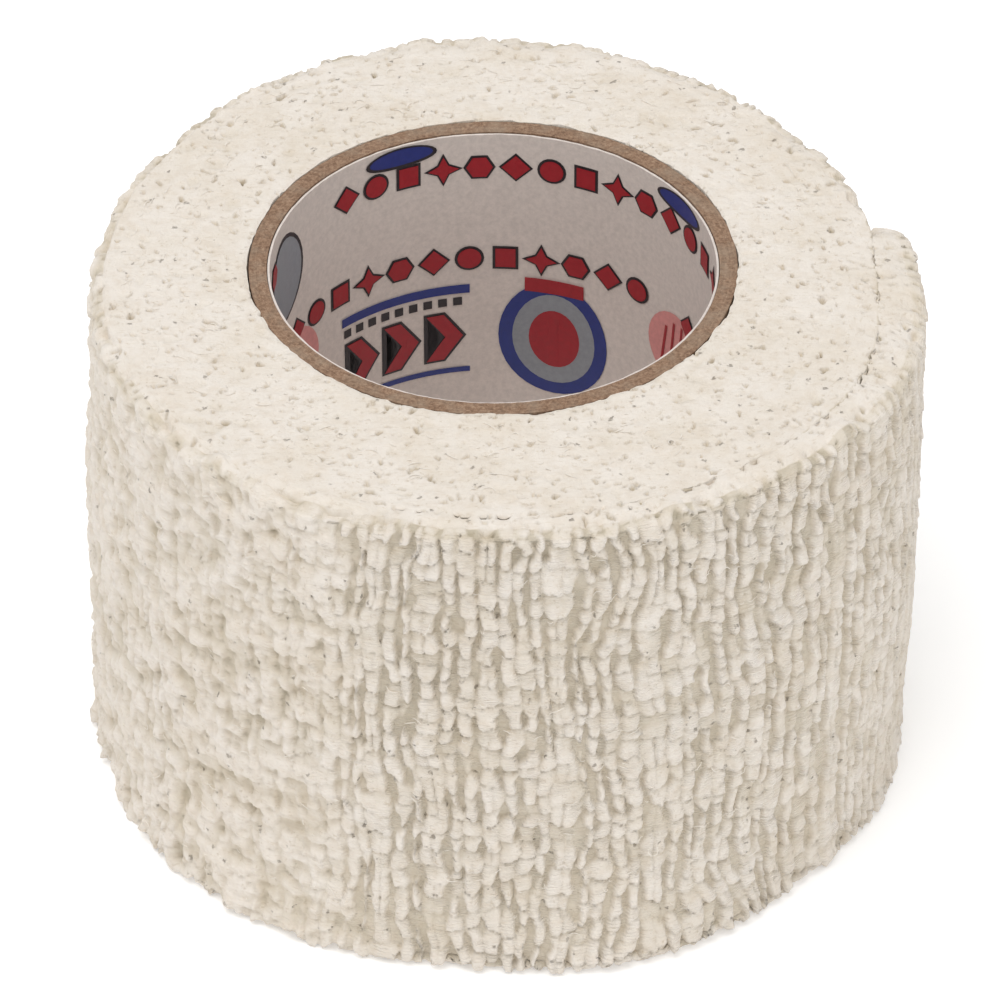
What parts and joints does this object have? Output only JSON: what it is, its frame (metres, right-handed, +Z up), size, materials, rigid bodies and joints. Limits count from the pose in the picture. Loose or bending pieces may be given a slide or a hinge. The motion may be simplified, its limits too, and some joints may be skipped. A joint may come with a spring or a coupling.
{
  "type": "stretch hand tape roll",
  "caption": "Roll of crinkled cotton stretch tape on a paperboard core with a printed paper lining and a free end that peels off.",
  "frame": {"origin": "centre of the roll's plan box, on the flat end that it stands on; the core's axis is 0.4 mm towards -X and 1.5 mm towards +Y of it, because the outermost turn is wound thicker at the front", "axes": "+Z up along the core's axis; -Y towards the side opposite the liner's print that is seen from above; +X towards the free end of the tape"},
  "size_m": [0.0576, 0.0568, 0.0381],
  "materials": {
    "cotton_crepe": "matte crinkled cotton",
    "adhesive": "tacky satin film",
    "kraft_board": "matte recycled board",
    "liner_paper": "smooth printed paper"
  },
  "bodies": {
    "roll": {"printed_liner": "liner_paper", "core_ply_inner": "kraft_board", "core_ply_middle": "kraft_board", "core_ply_outer": "kraft_board", "tape_tight_turns": "cotton_crepe", "tape_loosening_turn": "cotton_crepe", "tape_outer_turn": "cotton_crepe", "tape_outer_turn_adhesive": "adhesive"},
    "free_end": {"tape_free_end": "cotton_crepe", "tape_free_end_adhesive": "adhesive"}
  },
  "joints": [
    {"name": "free_end_peel", "type": "hinge", "parent": "roll", "child": "free_end", "pos_m": [0.02423, -0.01643, 0.01905], "axis": [0, 0, -1], "range_deg": [0, 70]}
  ]
}
